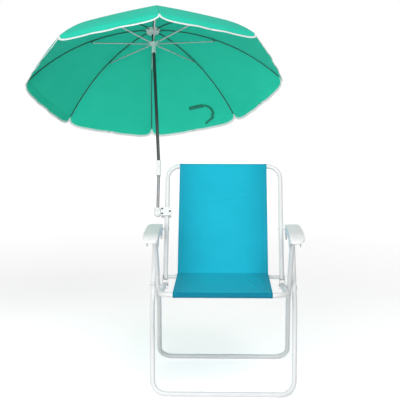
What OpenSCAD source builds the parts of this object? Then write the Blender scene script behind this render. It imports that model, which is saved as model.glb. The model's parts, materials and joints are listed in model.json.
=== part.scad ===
// Folding beach chair with a clamp-on parasol. Millimetres, the chair faces -Y, +Z is up.

/* [Frame tube] */
// Outside diameter of the steel tube
tube_d = 18; // [17:0.5:19]
// Wall of the steel tube
tube_wall = 1.2; // [0.8:0.1:2]
// Side gap between the front and rear leg tubes
side_gap = 0.6; // [0.4:0.1:1.2]
// Radius of the bends, on the tube's centre line
bend_r = 50; // [42:1:54]

/* [Legs] */
// Front foot bar, in front of the main pivot
foot_front_y = 225; // [210:1:240]
// Rear foot bar, behind the main pivot
foot_rear_y = 240; // [225:1:255]
// Height of the main pivot
pivot_z = 342; // [330:1:350]
// Straight length of the legs just below the pivot, before they splay
straight_below = 80; // [74:1:90]
// Inward slope of the front legs below that
splay_front = 2.3; // [1.5:0.1:3]
// Outward slope of the rear legs below that
splay_rear = 2.2; // [1.5:0.1:3]
// Front leg's tube above the pivot
front_upper = 203; // [195:1:204]
// Pivot to the arm's rivet, along the rear leg
rear_upper = 229.6; // [227:0.2:232]

/* [Seat and back] */
// Half the width of the seat and of the back, on the tube's centre line
seat_half = 220.5; // [205:0.5:235]
// Seat's front bar, in front of the pivot
seat_front_y = 235; // [220:1:245]
// Seat's front bar, above the pivot
seat_rise = 23; // [18:1:28]
// Seat's rear end, behind the pivot
seat_rear_y = 80; // [74:1:82]
// Hinge of the back, behind the pivot
hinge_y = 100; // [98:1:104]
// Height of the back's hinge
hinge_z = 360; // [358:1:363]
// Recline of the back from upright
recline = 26; // [24:0.5:28]
// Back's length from its hinge to the top bar
back_len = 449; // [430:1:460]
// Width of the sling
sling_w = 344; // [300:1:346]
// Thickness of the sling
sling_t = 1.5; // [1:0.1:2.5]
// How far each side of the sling draws in at its fold
sling_waist = 8; // [0:1:14]
// Height of the sling's fold above the hinge
fold_h = 17; // [15:1:22]

/* [Armrests] */
// Overhang of the arm's top beyond its outer wall
arm_overhang = 11; // [6:1:16]
// Arm's length in front of its rivet
arm_front = 52; // [46:1:56]
// Arm's length behind its rivet
arm_rear = 325; // [318:1:326]
// Height of the arm's top above its rivet
arm_top = 37; // [35:1:42]
// Depth of the arm's side walls
arm_depth = 25; // [20:1:28]
// Wall of the arm's moulding
arm_wall = 2; // [1.6:0.1:2.4]
// Stud in the backrest's tube, from the back's hinge
stud_s = 189.8; // [187:0.2:192]
// Stud's length beyond the tube
stud_len = 8; // [5:0.5:9]

/* [Fasteners] */
// Diameter of the main bolts
bolt_d = 8; // [6:0.5:9]
// Thickness of the bolts' heads
head_t = 2.4; // [1.5:0.1:3.5]
// Diameter of the arm and hinge rivets
rivet_d = 6; // [5:0.2:6.4]
// Running clearance of bolts, rivets and poles, on the radius
run_gap = 0.08; // [0.04:0.01:0.1]

/* [Clamp and poles] */
// Middle of the clamp, from the back's hinge
clamp_s = 257; // [256:1:275]
// Height of the clamp
clamp_h = 34; // [28:1:35]
// Distance of the pole from the tube that carries it
pole_out = 36.5; // [35.5:0.5:39.5]
// Diameter of the lower pole
lower_d = 12; // [10:0.5:13]
// Diameter of the upper pole
upper_d = 13; // [11:0.5:13.5]
// Wall of the poles
pole_wall = 1; // [0.8:0.1:1.5]
// Tilt joint, from the back's hinge
tilt_s = 445; // [440:1:470]
// Diameter of the tilt joint's sleeve
tilt_d = 19; // [18:0.5:22]
// Side lean of the parasol at rest
side_lean = 3.8; // [0:0.1:8]

/* [Parasol] */
// Tilt joint to the plane of the rib tips
plane_h = 391; // [380:1:405]
// Radius over the rib tips
canopy_r = 514; // [490:1:530]
// Height of the dome above the rib tips
dome_h = 225; // [215:1:235]
// Turn of the ribs about the pole
rib_turn = 5.6; // [0:0.1:20]
// Depth of the scalloped valance
valance_h = 42; // [20:1:55]
// Thickness of the canopy's cloth
cloth_t = 1; // [0.6:0.1:1.4]
// Diameter of the ribs
rib_d = 3; // [2.6:0.1:3.4]
// Radius at which the stretchers meet the ribs
joint_r = 255; // [248:1:262]
// Radius of the ring of rib hinges
crown_r = 20; // [19.5:0.1:21]
// Radius of the crown
crown_out = 30; // [28:0.5:32]
// Radius of the ring of stretcher hinges
runner_r = 19; // [18.5:0.1:20]
// Runner's hinges below the dome's top
runner_drop = 66; // [64:0.5:68]

/* [Hidden] */
$fn = 48;
tube_r = tube_d / 2;
bore_d = tube_d - 2 * tube_wall;
// Slight swell of the tube where a bend starts
swell = 0.2;
fit = 0.02;
skirt_gap = 0.5;
seat_out = seat_half + tube_r;
arm_in = seat_out + skirt_gap;
rear_half = arm_in + arm_wall + skirt_gap + tube_r;
front_half = rear_half + tube_d + side_gap;
front_out = front_half + tube_r;
skirt_out = front_out + skirt_gap + arm_wall;
arm_outer = skirt_out + arm_overhang;
front_lean = atan2(foot_front_y, pivot_z - tube_r);
rear_lean = atan2(foot_rear_y, pivot_z - tube_r);
front_len = norm([foot_front_y, pivot_z - tube_r]);
rear_len = norm([foot_rear_y, pivot_z - tube_r]);
front_kink = front_len - straight_below;
rear_kink = rear_len - straight_below;
front_foot_half = front_half - front_kink * tan(splay_front);
rear_foot_half = rear_half + rear_kink * tan(splay_rear);
arm_y = -rear_upper * sin(rear_lean);
arm_z = pivot_z + rear_upper * cos(rear_lean);
plug_t = 2;
seat_slope = atan2(seat_rise, seat_front_y);
seat_len = norm([seat_front_y, seat_rise]);
seat_back_len = seat_rear_y / cos(seat_slope);
back_foot = 10;

// Hinge plates on both sides of the seat's rear ends
plate_t = 1.8;
plate_gap = 0.1;
plate_r = 8;
plate_head = 0.5;
rail_y = seat_rear_y - 12;
rail_z = pivot_z - rail_y * tan(seat_slope);
cross_d = 14;
cross_half = seat_half - tube_r - plate_gap - plate_t;

// Sling: sleeves round the bars, and its fold in front of the back's hinge
sleeve_r = tube_r + 0.3;
pocket_r = cross_d / 2 + 0.3;
fold_y = hinge_y - 6;
fold_z = hinge_z + fold_h;
fold_back = turn_x([0, fold_y - hinge_y, fold_h], recline);

// Arm's top line and lower edge, measured from its rivet; the stop is just behind the front leg's top
stop_y = (front_upper + plug_t) * sin(front_lean) + tube_r * cos(front_lean) - arm_y + 0.4;
stop_low = -26;
step_y = stop_y - 25;
function arm_top_at(y) = arm_top - 21 * pow((y - 60) / (y < 60 ? arm_front + 60 : arm_rear - 60), 4);
arm_top_line = [for (i = [0:24]) let (y = -arm_front + (arm_front + arm_rear) * i / 24) [y, arm_top_at(y)]];
arm_low = arm_top - arm_depth;
arm_low_line = [[arm_rear + 1, 2], [stop_y + 32, 4], [stop_y + 15, -8], [stop_y + 6, stop_low],
  [stop_y - 17, stop_low], [stop_y - 36, arm_low], [34, arm_low], [17, -8], [9, -12], [-9, -12], [-16, -7],
  [-26, 6], [-arm_front - 1, 9]];

// Clamp and socket, measured along the back from its hinge
clamp_depth = tube_r + 7;
screw_d = 4;
pole_x = seat_half + pole_out;
clamp_left = pole_x - 14;
clamp_right = seat_half - tube_r - screw_d / 2 - 5.1;
socket_r = 14.5;
socket_top = clamp_s + 15;
socket_floor = clamp_s - 13;
pole_end = tilt_s - 11.7;
tilt_low = 36;
tilt_high = 26;
tilt_neck = tilt_d / 2 + 0.5;
tongue_t = 6;
pin_d = 4;

// Parasol: the dome is part of a sphere, the ribs follow it just under the cloth
ribs = 8;
top_h = plane_h + dome_h;
rho = (pow(canopy_r, 2) + pow(dome_h, 2)) / (2 * dome_h);
rib_gap = 1.4;
crown_gap = 1.7;
rib_rho = rho - cloth_t - rib_gap - rib_d / 2;
ball_h = top_h - rho;
function arc_h(r, radius) = ball_h + sqrt(pow(radius, 2) - pow(r, 2));
crown_top = arc_h(crown_out, rho) - cloth_t - crown_gap;
crown_pin = crown_top - 5;
rib_start = 50;
rib_end = canopy_r - 4;
tab_drop = 7;
joint_out = joint_r - tab_drop * joint_r / rib_rho;
joint_h = arc_h(joint_r, rib_rho) - tab_drop * cos(asin(joint_r / rib_rho));
run_h = top_h - runner_drop;
stretch_len = norm([joint_out - runner_r, joint_h - run_h]);
stretch_rise = atan2(joint_h - run_h, joint_out - runner_r);
stretch_w = 5.6;
stretch_t = 1.2;
stretch_h = 3.6;
stretch_pin = 2;
tab_t = 2.2;
wire_d = 1.2;
function rib_angle(k) = rib_turn - 90 - 360 / ribs * (k - 1);

function turn_x(v, a) = [v[0], v[1] * cos(a) - v[2] * sin(a), v[1] * sin(a) + v[2] * cos(a)];
function turn_y(v, a) = [v[0] * cos(a) + v[2] * sin(a), v[1], -v[0] * sin(a) + v[2] * cos(a)];
function from_back(v) = [0, hinge_y, hinge_z] + turn_x(v, -recline);
function from_mast(v) = from_back([-pole_x, 0, tilt_s] + turn_y(v, -side_lean));

// Canopy: along a gore u runs from rib to rib; the cloth is drawn nearly straight between the ribs
gore_steps = 6;
around = ribs * gore_steps;
dome_rings = 9;
fall_rings = 3;
rings = dome_rings + fall_rings;
hole_r = 6;
function gore_u(j) = j / gore_steps - floor(j / gore_steps);
function gore_pull(u) = 1 - 0.85 * (1 - cos(180 / ribs) / cos((u - 0.5) * 360 / ribs));
function lobe(u) = 0.16 + 0.84 * pow(1 - pow(abs(2 * u - 1), 5), 0.6);
function ring_r(i) = let (near = asin(hole_r / rho), far = asin(canopy_r / rho))
  rho * sin(near + (far - near) * i / (dome_rings - 1));
function dome_at(i, u) = [ring_r(i) * gore_pull(u), arc_h(ring_r(i), rho), asin(ring_r(i) / rho)];
function fall_at(k, u) = let (d = valance_h * lobe(u) * k / fall_rings)
  [canopy_r * gore_pull(u) + 0.45 * d, plane_h - 0.9 * d, 63];
function cloth_at(i, u) = i < dome_rings ? dome_at(i, u) : fall_at(i - dome_rings + 1, u);
function cloth_point(i, j, t) = let (p = cloth_at(i, gore_u(j)), a = rib_angle(1) - j * 360 / around,
  r = p[0] - t * sin(p[2])) [r * cos(a), r * sin(a), p[1] - t * cos(p[2])];
outer_cloth = [for (i = [0:rings - 1], j = [0:around - 1]) cloth_point(i, j, 0)];
inner_cloth = [for (i = [0:rings - 1], j = [0:around - 1]) cloth_point(i, j, cloth_t)];

// The whole is moved so that the middle of its footprint is at the origin
cloth_world = [for (p = concat(outer_cloth, inner_cloth)) from_mast(p)];
left_x = min([for (p = cloth_world) p[0]]);
back_y = max([for (p = cloth_world) p[1]]);
front_y = -seat_front_y - sleeve_r - sling_t;
origin = [(left_x + arm_outer) / 2, (front_y + back_y) / 2, 0];

// Places
module placed() translate(-origin) children();
module both_sides() {
  children();
  mirror([1, 0, 0]) children();
}
module in_front_leg() placed() translate([0, -foot_front_y, tube_r]) rotate([90 - front_lean, 0, 0]) children();
module in_rear_leg() placed() translate([0, foot_rear_y, tube_r]) rotate([90 + rear_lean, 0, 0]) children();
// Local Y runs forward along the seat from the pivot
module in_seat() placed() translate([0, 0, pivot_z]) rotate([180 - seat_slope, 0, 0]) children();
// Local Z runs up the back from its hinge, local Y out of its rear
module in_back() placed() translate([0, hinge_y, hinge_z]) rotate([-recline, 0, 0]) children();
module in_pole() in_back() translate([-pole_x, 0, 0]) children();
module in_mast() in_pole() translate([0, 0, tilt_s]) rotate([0, -side_lean, 0]) children();
module at_rib(k) in_mast() rotate([0, 0, rib_angle(k)]) children();
module at_arm() placed() translate([0, arm_y, arm_z]) children();

// Shapes
module along_x(from, to, d) translate([from, 0, 0]) rotate([0, 90, 0]) cylinder(h = to - from, d = d);
module along_y(from, to, d) translate([0, to, 0]) rotate([90, 0, 0]) cylinder(h = to - from, d = d);
module span(from, to, d) translate([0, 0, from]) cylinder(h = to - from, d = d);
// A profile in Y and Z, drawn out along X
module sheet_x(from, to) translate([from, 0, 0]) rotate([90, 0, 90]) linear_extrude(to - from) children();
// A straight rod in the XY plane
module rod(at, angle, len, d) translate([at[0], at[1], 0]) rotate([0, 0, angle]) rotate([0, 90, 0])
  cylinder(h = len, d = d);
// A strap with round ends, in a plane
module link(a, b, r) {
  side = r * [b[1] - a[1], a[0] - b[0]] / norm(b - a);
  translate(a) circle(r);
  translate(b) circle(r);
  polygon([a + side, b + side, b - side, a - side]);
}

// A U of tube in the XY plane: its bar on X, a bend at each end, legs of length len that slope out by splay
module u_tube(half, splay, len, d) {
  cut = bend_r * tan((90 - splay) / 2);
  foot = [half - cut + bend_r * cos(splay), bend_r - bend_r * sin(splay)];
  both_sides() {
    along_x(0, half - cut, d);
    translate([half - cut, bend_r, 0]) rotate([0, 0, -90]) rotate_extrude(angle = 90 - splay)
      translate([bend_r, 0]) circle(d = d);
    if (splay != 0) translate([foot[0], foot[1], 0]) sphere(d = d + swell);
    rod(foot, 90 - splay, len - cut, d);
  }
}

// The same with a slight kink below the pivot, above which both legs run straight up
module leg_u(foot_half, top_half, splay, kink, top, d) {
  u_tube(foot_half, splay, kink / cos(splay), d);
  both_sides() {
    translate([top_half, kink, 0]) sphere(d = d + swell);
    rod([top_half, kink], 90, top - kink, d);
  }
}

// Frames
module front_leg_frame() color("white") in_front_leg() difference() {
  leg_u(front_foot_half, front_half, splay_front, front_kink, front_len + front_upper, tube_d);
  leg_u(front_foot_half, front_half, splay_front, front_kink, front_len + front_upper + 1, bore_d);
  translate([0, front_len, 0]) along_x(-front_out - 1, front_out + 1, bolt_d + fit);
}

module rear_leg_frame() color("white") in_rear_leg() difference() {
  leg_u(rear_foot_half, rear_half, -splay_rear, rear_kink, rear_len + rear_upper + tube_r, tube_d);
  leg_u(rear_foot_half, rear_half, -splay_rear, rear_kink, rear_len + rear_upper + tube_r + 1, bore_d);
  translate([0, rear_len, 0]) along_x(-front_half, front_half, bolt_d + 2 * run_gap);
  translate([0, rear_len + rear_upper, 0]) along_x(-front_half, front_half, rivet_d + fit);
}

module seat_u(d, extra) rotate([0, 0, 180]) translate([0, -seat_len, 0])
  u_tube(seat_half, 0, seat_len + seat_back_len + extra, d);

module seat_frame() color("white") in_seat() difference() {
  seat_u(tube_d, 0);
  seat_u(bore_d, 1);
  along_x(-seat_out - 1, seat_out + 1, bolt_d + 2 * run_gap);
  translate([0, -rail_y / cos(seat_slope), 0]) along_x(-seat_out - 1, seat_out + 1, rivet_d + fit);
}

module back_u(d, low) translate([0, 0, back_len]) rotate([-90, 0, 0]) u_tube(seat_half, 0, back_len + low, d);

module backrest_frame() color("white") in_back() difference() {
  back_u(tube_d, back_foot);
  back_u(bore_d, back_foot + 1);
  along_x(-seat_out - 1, seat_out + 1, rivet_d + 2 * run_gap);
  translate([0, 0, stud_s]) along_x(-seat_out - 1, seat_out + 1, rivet_d + fit);
}

module plug(d) {
  cylinder(h = plug_t, d = tube_d);
  span(-12, 0, d);
}

module front_leg_plugs() color("dimgray") in_front_leg() both_sides()
  translate([front_half, front_len + front_upper, 0]) rotate([-90, 0, 0]) plug(bore_d - 0.1);

module rear_leg_plugs() color("dimgray") in_rear_leg() both_sides()
  translate([rear_half, rear_len + rear_upper + tube_r, 0]) rotate([-90, 0, 0]) difference() {
    plug(bore_d - 0.1);
    translate([0, 0, -tube_r]) along_x(-tube_d, tube_d, rivet_d + 0.4);
  }

// Main pivot: the bolt is fast in the front leg, the rear leg and the seat turn on it
module at_pivot() placed() translate([0, 0, pivot_z]) both_sides() children();
nut_t = 5;

module main_bolts() color("silver") at_pivot() {
  along_x(seat_half - tube_r - nut_t - 2, front_out + head_t / 2, bolt_d);
  along_x(front_out, front_out + head_t, bolt_d + 6);
}

module main_nuts() color("silver") at_pivot() difference() {
  along_x(seat_half - tube_r - 0.2 - nut_t, seat_half - tube_r - 0.2, bolt_d + 5);
  along_x(0, front_half, bolt_d + fit);
}

module pivot_washers() color("silver") at_pivot() difference() {
  along_x(seat_out + 0.1, rear_half - tube_r - 0.1, bolt_d + 7);
  along_x(0, front_half, bolt_d + fit);
}

module arm_rivets() color("silver") at_arm() both_sides() {
  along_x(arm_in, skirt_out + 1, rivet_d);
  along_x(skirt_out + 0.1, skirt_out + 2, rivet_d + 5);
}

module back_studs() color("silver") in_back() translate([0, 0, stud_s]) both_sides() {
  along_x(seat_half - tube_r - 1, seat_out + stud_len, rivet_d);
  along_x(seat_half - tube_r - 2, seat_half - tube_r, rivet_d + 4);
}

// Hinge between the seat and the back
module plate_shape() difference() {
  link([hinge_y, hinge_z], [rail_y, rail_z], plate_r);
  translate([hinge_y, hinge_z]) circle(d = rivet_d + fit);
  translate([rail_y, rail_z]) circle(d = rivet_d + fit);
}

module hinge_brackets() color("white") placed() both_sides() {
  sheet_x(seat_out + plate_gap, seat_out + plate_gap + plate_t) plate_shape();
  sheet_x(cross_half, cross_half + plate_t) plate_shape();
}

module hinge_crossbar() color("white") placed() translate([0, hinge_y, hinge_z]) difference() {
  along_x(-cross_half, cross_half, cross_d);
  along_x(22 - cross_half, cross_half - 22, cross_d - 2 * tube_wall);
  both_sides() along_x(cross_half - 18, cross_half + 1, rivet_d + fit);
}

module hinge_rivets() color("silver") placed() both_sides() {
  translate([0, hinge_y, hinge_z]) {
    along_x(cross_half - 16, seat_out + plate_gap + plate_t + 0.2, rivet_d);
    along_x(seat_out + plate_gap + plate_t, seat_out + plate_gap + plate_t + plate_head, rivet_d + 4);
  }
  translate([0, rail_y, rail_z]) {
    along_x(cross_half - 1, seat_out + plate_gap + plate_t + 0.2, rivet_d);
    along_x(seat_out + plate_gap + plate_t, seat_out + plate_gap + plate_t + plate_head, rivet_d + 4);
    along_x(cross_half - 1.5, cross_half, rivet_d + 4);
  }
}

// Sling in two parts that meet at the fold
module ring(r, t) difference() {
  circle(r + t);
  circle(r);
}

module sling_plan(from, to) linear_extrude(1000, center = true) let (fold = sling_w / 2 - sling_waist)
  polygon([[-sling_w / 2, from], [sling_w / 2, from], [fold, to], [fold, 2 * to - from], [-fold, 2 * to - from],
    [-fold, to]]);

module sling_seat() color("darkturquoise") placed() intersection() {
  sheet_x(-sling_w, sling_w) {
    translate([-seat_front_y, pivot_z + seat_rise]) ring(sleeve_r, sling_t);
    polygon([[-seat_front_y, pivot_z + seat_rise + sleeve_r], [fold_y, fold_z - sling_t],
      [fold_y, fold_z], [-seat_front_y, pivot_z + seat_rise + sleeve_r + sling_t]]);
    translate([hinge_y, hinge_z]) ring(pocket_r, sling_t);
    polygon([[fold_y, fold_z - 0.5], [fold_y - sling_t, fold_z - 0.5], [fold_y - sling_t, hinge_z + pocket_r - 2.6],
      [fold_y, hinge_z + pocket_r - 1.8]]);
  }
  sling_plan(-seat_front_y - 20, fold_y);
}

module sling_back() color("darkturquoise") in_back() intersection() {
  sheet_x(-sling_w, sling_w) {
    translate([0, back_len]) ring(sleeve_r, sling_t);
    polygon([[-sleeve_r - sling_t, back_len], [fold_back[1], fold_back[2] + 0.5],
      [fold_back[1] + sling_t, fold_back[2] + 0.5], [-sleeve_r, back_len]]);
  }
  rotate([90, 0, 0]) sling_plan(back_len + 20, fold_back[2]);
}

// Armrest: a moulded top with a rim, over a deep channel that is open below
function corner(x, y, r, from) = [for (i = [0:6]) [x + r * cos(from + 15 * i), y + r * sin(from + 15 * i)]];
function arm_plan(front, rear, outer, d, rc) = concat(
  [[arm_in + stud_len + d, step_y + 20], [arm_in + d, step_y]],
  corner(arm_in + 12, 12 - front, 12 - d, 180),
  corner(outer - rc, rc - front, rc - d, 270),
  [[outer - d, step_y - 40]],
  corner(min(outer, skirt_out) - 9, rear - 9, 9 - d, 0),
  corner(arm_in + stud_len + 9, rear - 9, 9 - d, 90));

module arm_side(top_cut, low) polygon(concat([for (p = arm_top_line) [p[0], p[1] - top_cut]], low));
module arm_block(front, rear, outer, d, rc, top_cut, low) intersection() {
  translate([0, 0, -60]) linear_extrude(120) polygon(arm_plan(front, rear, outer, d, rc));
  sheet_x(arm_in - 5, arm_outer + 5) arm_side(top_cut, low);
}

top_t = 3;
rim = 8;
deep = [[arm_rear + 1, -50], [-arm_front - 1, -50]];
rim_line = [for (i = [24:-1:0]) arm_top_line[i] - [0, rim]];

module arm() at_arm() difference() {
  union() {
    difference() {
      arm_block(arm_front, arm_rear, arm_outer, 0, 20, 0, rim_line);
      arm_block(arm_front, arm_rear, arm_outer, arm_wall, 20, top_t, deep);
    }
    difference() {
      arm_block(arm_front - 6, arm_rear, skirt_out, 0, 12, 1, arm_low_line);
      arm_block(arm_front - 6, arm_rear, skirt_out, arm_wall, 12, top_t, deep);
    }
    intersection() {
      union() {
        translate([front_half - tube_r + 0.4, stop_y, stop_low]) cube([skirt_out - front_half + tube_r - 1, 2.5, 80]);
        for (i = [0:5]) translate([skirt_out - 0.5, -20 + i * (step_y + 10) / 5, 0])
          cube([arm_overhang - 1, arm_wall, 60]);
      }
      arm_block(arm_front, arm_rear, arm_outer, 0.5, 20, 1, arm_low_line);
      sheet_x(arm_in, arm_outer) union() {
        polygon(concat(arm_top_line, rim_line));
        translate([stop_y - 1, stop_low]) square([5, 80]);
      }
    }
  }
  along_x(arm_in - 5, skirt_out + 5, rivet_d + 2 * run_gap);
}

module armrest_left() color("white") mirror([1, 0, 0]) translate([2 * origin[0], 0, 0]) arm();
module armrest_right() color("white") arm();

// Clamp round the left tube of the back, with the pole's socket
module at_screws() for (s = [-1, 1]) translate([-clamp_left + 4.5, 0, clamp_s + s * 10]) children();

module clamp_block(from, to) difference() {
  translate([-clamp_left, from, clamp_s - clamp_h / 2]) cube([clamp_left - clamp_right, to - from, clamp_h]);
  translate([-seat_half, 0, 0]) span(clamp_s - clamp_h, clamp_s + clamp_h, tube_d + fit);
  at_screws() along_y(from - 1, to + 1, screw_d + fit);
  translate([-clamp_right - 4.5, 0, clamp_s]) along_y(from - 1, to + 1, screw_d + fit);
}

module clamp_body() color("white") in_back() difference() {
  union() {
    clamp_block(-clamp_depth, -0.4);
    translate([-pole_x, 0, 0]) {
      span(clamp_s - 5, socket_top, 2 * socket_r);
      translate([0, 0, clamp_s - 5]) sphere(r = socket_r);
    }
  }
  translate([-pole_x, 0, 0]) span(socket_floor, socket_top + 1, lower_d + 2 * run_gap);
  translate([-pole_x, 0, clamp_s + 5]) along_y(-socket_r - 5, 0, screw_d + 2 * run_gap);
  translate([-pole_x - 20, -socket_r - 5, clamp_s - 40]) cube([10, 10, 10]);
}

module clamp_jaw() color("white") in_back() difference() {
  clamp_block(0.4, clamp_depth);
  translate([-pole_x, 0, 0]) span(clamp_s - 40, clamp_s + 40, 2 * socket_r + 0.6);
}

module clamp_screws() color("dimgray") in_back() {
  at_screws() {
    along_y(-clamp_depth - 1.5, clamp_depth, screw_d);
    along_y(-clamp_depth - 1.5, -clamp_depth, screw_d + 3);
    along_y(clamp_depth, clamp_depth + 2.5, screw_d + 3);
  }
  translate([-clamp_right - 4.5, 0, clamp_s]) {
    along_y(-clamp_depth - 1.5, clamp_depth, screw_d);
    along_y(-clamp_depth - 1.5, -clamp_depth, screw_d + 3);
    along_y(clamp_depth, clamp_depth + 2.5, screw_d + 3);
  }
}

module pole_screw() color("black") in_pole() translate([0, 0, clamp_s + 5]) difference() {
  union() {
    along_y(-socket_r - 3, -lower_d / 2 - 0.3, screw_d);
    along_y(-socket_r - 7, -socket_r - 0.5, 10);
  }
  for (a = [0:60:300]) rotate([0, a, 0]) translate([6.4, 0, 0]) along_y(-socket_r - 8, -socket_r, 4);
}

module pole_tube(from, to, d) difference() {
  span(from, to, d);
  span(from - 1, to + 1, d - 2 * pole_wall);
}

module lower_pole() color("gray") in_pole() pole_tube(socket_floor + 0.3, pole_end, lower_d);

// Tilt joint: two ears and a tongue on a pin
module tilt_ears(y, t) intersection() {
  union() {
    along_y(y, y + t, tilt_d);
    translate([-tilt_d / 2, y, -tilt_neck - 1]) cube([tilt_d, t, tilt_neck + 1]);
  }
  span(-tilt_d, tilt_d, tilt_d);
}

module tilt_base() color("white") in_pole() translate([0, 0, tilt_s]) difference() {
  union() {
    span(-tilt_low, -tilt_neck, tilt_d);
    tilt_ears(-tilt_d / 2, (tilt_d - tongue_t) / 2 - 0.3);
    tilt_ears(tongue_t / 2 + 0.3, (tilt_d - tongue_t) / 2 - 0.3);
  }
  span(-tilt_low - 1, pole_end + 0.3 - tilt_s, lower_d + 2 * run_gap);
  along_y(-tilt_d, tilt_d, pin_d + fit);
}

module tilt_pin() color("silver") in_pole() translate([0, 0, tilt_s]) along_y(-tilt_d / 2 + 0.5, tilt_d / 2 - 0.5, pin_d);

module tilt_head() color("white") in_mast() difference() {
  union() {
    span(tilt_neck, tilt_high, tilt_d);
    mirror([0, 0, 1]) tilt_ears(-tongue_t / 2, tongue_t);
  }
  span(tilt_neck + 1.5, tilt_high + 1, upper_d + fit);
  along_y(-tilt_d, tilt_d, pin_d + 2 * run_gap);
}

module upper_pole() color("dimgray") in_mast() pole_tube(tilt_neck + 1.5, crown_top - 6, upper_d);

// Crown: a hub with a slot for each rib and the wire that the ribs turn on
module crown() color("white") in_mast() difference() {
  union() {
    span(crown_top - 2, crown_top, 2 * crown_out);
    span(crown_top - 11, crown_top, 2 * crown_r + 12);
    span(crown_top - 22, crown_top, upper_d + 5);
  }
  for (k = [1:ribs]) rotate([0, 0, rib_angle(k)]) {
    translate([crown_r - 4, -1.9, crown_top - 30]) cube([crown_out, 3.8, 28]);
    rotate([0, 0, 180 / ribs]) translate([crown_out + 2.5, 0, 0]) span(crown_top - 30, crown_top + 1, 9);
  }
  span(crown_top - 30, crown_top - 6, upper_d + fit);
  span(crown_top - 10, crown_top + 1, 5 + fit);
  translate([0, 0, crown_pin]) rotate_extrude() translate([crown_r, 0]) circle(d = wire_d + 2 * fit);
}

module crown_wire() color("silver") in_mast() translate([0, 0, crown_pin]) rotate_extrude()
  translate([crown_r, 0]) circle(d = wire_d);

module crown_cap() color("white") in_mast() {
  span(crown_top - 5, top_h + 2, 5);
  translate([0, 0, top_h + 0.3]) rotate_extrude() intersection() {
    translate([0, -22.5]) circle(28);
    square([17, 6]);
  }
}

// Rib: a wire that follows the dome, with an eye at the crown and a clip for its stretcher
module rib(k) color("darkslategray") at_rib(k) difference() {
  start = [rib_start, arc_h(rib_start, rib_rho)];
  from = asin(rib_start / rib_rho);
  to = asin(rib_end / rib_rho);
  turn = asin(joint_r / rib_rho);
  union() {
    translate([0, 0, ball_h]) rotate([90, 0, 0]) rotate([0, 0, 90 - to]) rotate_extrude(angle = to - from, $fn = 96)
      translate([rib_rho, 0]) circle(d = rib_d, $fn = 24);
    translate([start[0], 0, start[1]]) sphere(d = rib_d + 0.5, $fn = 24);
    translate([crown_r, 0, crown_pin]) {
      rotate([0, 90 - atan2(start[1] - crown_pin, start[0] - crown_r), 0])
        span(1.5, norm([start[0] - crown_r, start[1] - crown_pin]), rib_d);
      along_y(-1.4, 1.4, 5);
    }
    translate([0, 0, ball_h]) rotate([0, turn, 0]) translate([0, 0, rib_rho]) {
      translate([0, 0, -0.9]) along_x(-5, 5, rib_d + 1.4);
      translate([-3, -tab_t / 2, -tab_drop]) cube([6, tab_t, tab_drop]);
      translate([0, 0, -tab_drop]) {
        along_y(-tab_t / 2, tab_t / 2, 6);
        along_y(-stretch_w / 2 - 0.6, stretch_w / 2 + 0.6, stretch_pin);
      }
    }
  }
  translate([crown_r, 0, crown_pin]) along_y(-3, 3, wire_d + 2 * run_gap);
}

// Stretcher: a channel that forks over the clip at its outer end and over the runner's tab at its inner end
module stretcher(k) color("lightgray") at_rib(k) translate([joint_out, 0, joint_h])
  rotate([0, 180 - stretch_rise, 0]) {
    difference() {
      rotate([90, 0, 0]) translate([0, 0, -stretch_w / 2]) linear_extrude(stretch_w) {
        circle(2.4);
        translate([stretch_len, 0]) circle(2.3);
        translate([0, -stretch_h / 2]) square([stretch_len, stretch_h]);
      }
      translate([9, stretch_t - stretch_w / 2, 1 - stretch_h / 2])
        cube([stretch_len - 24, stretch_w - 2 * stretch_t, stretch_h]);
      translate([-4, stretch_t - stretch_w / 2, -4]) cube([13.01, stretch_w - 2 * stretch_t, 8]);
      translate([stretch_len - 15.01, stretch_t - stretch_w / 2, -4]) cube([20, stretch_w - 2 * stretch_t, 8]);
      along_y(-stretch_w, stretch_w, stretch_pin + 2 * run_gap);
    }
    translate([stretch_len, 0, 0]) along_y(-stretch_w / 2, stretch_w / 2, stretch_pin);
  }

// Runner: a sleeve on the pole with a hooked tab over each stretcher's pin
module runner() color("white") in_mast() translate([0, 0, run_h]) difference() {
  union() {
    span(-5, 6, 20);
    span(-36, -5, 16);
    span(-44, -34, 18);
    translate([0, 0, -14]) along_y(-9.4, 0, 9);
    for (k = [1:ribs]) rotate([0, 0, rib_angle(k)]) translate([8, -tab_t / 2, 0]) {
      cube([runner_r - 4.5, tab_t, 4.5]);
      translate([runner_r - 6.3, 0, -2]) cube([1.8, tab_t, 3]);
    }
  }
  span(-50, 10, upper_d + 0.5);
  for (k = [1:ribs]) rotate([0, 0, rib_angle(k)]) translate([runner_r, 0, 0]) along_y(-2, 2, stretch_pin + 0.8);
  translate([0, 0, -14]) along_y(-15, 0, 5 + 2 * run_gap);
}

module runner_catch() color("white") in_mast() translate([0, 0, run_h - 14]) along_y(-11.2, -upper_d / 2 - 1.8, 5);

// Canopy and its tie strap
function ring_faces(a, b) = [for (j = [0:around - 1]) let (n = (j + 1) % around)
  each [[a + j, b + j, b + n], [a + j, b + n, a + n]]];
function flipped(faces) = [for (f = faces) [f[2], f[1], f[0]]];
module canopy() color("mediumturquoise") in_mast() polyhedron(concat(outer_cloth, inner_cloth),
  concat(
    [for (i = [0:rings - 2]) each ring_faces(i * around, (i + 1) * around)],
    [for (i = [0:rings - 2]) each flipped(ring_faces((rings + i) * around, (rings + i + 1) * around))],
    flipped(ring_faces(0, rings * around)),
    ring_faces((rings - 1) * around, (2 * rings - 1) * around)));

// The strap hangs from the valance half way between two ribs
strap_w = 12;
strap_l = 58;
module tie_strap() color("seagreen") at_rib(5) rotate([0, 0, -180 / ribs])
  translate([canopy_r * gore_pull(0.5) - 1.6, -strap_w / 2, plane_h - strap_l]) cube([1, strap_w, strap_l - 2]);

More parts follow.
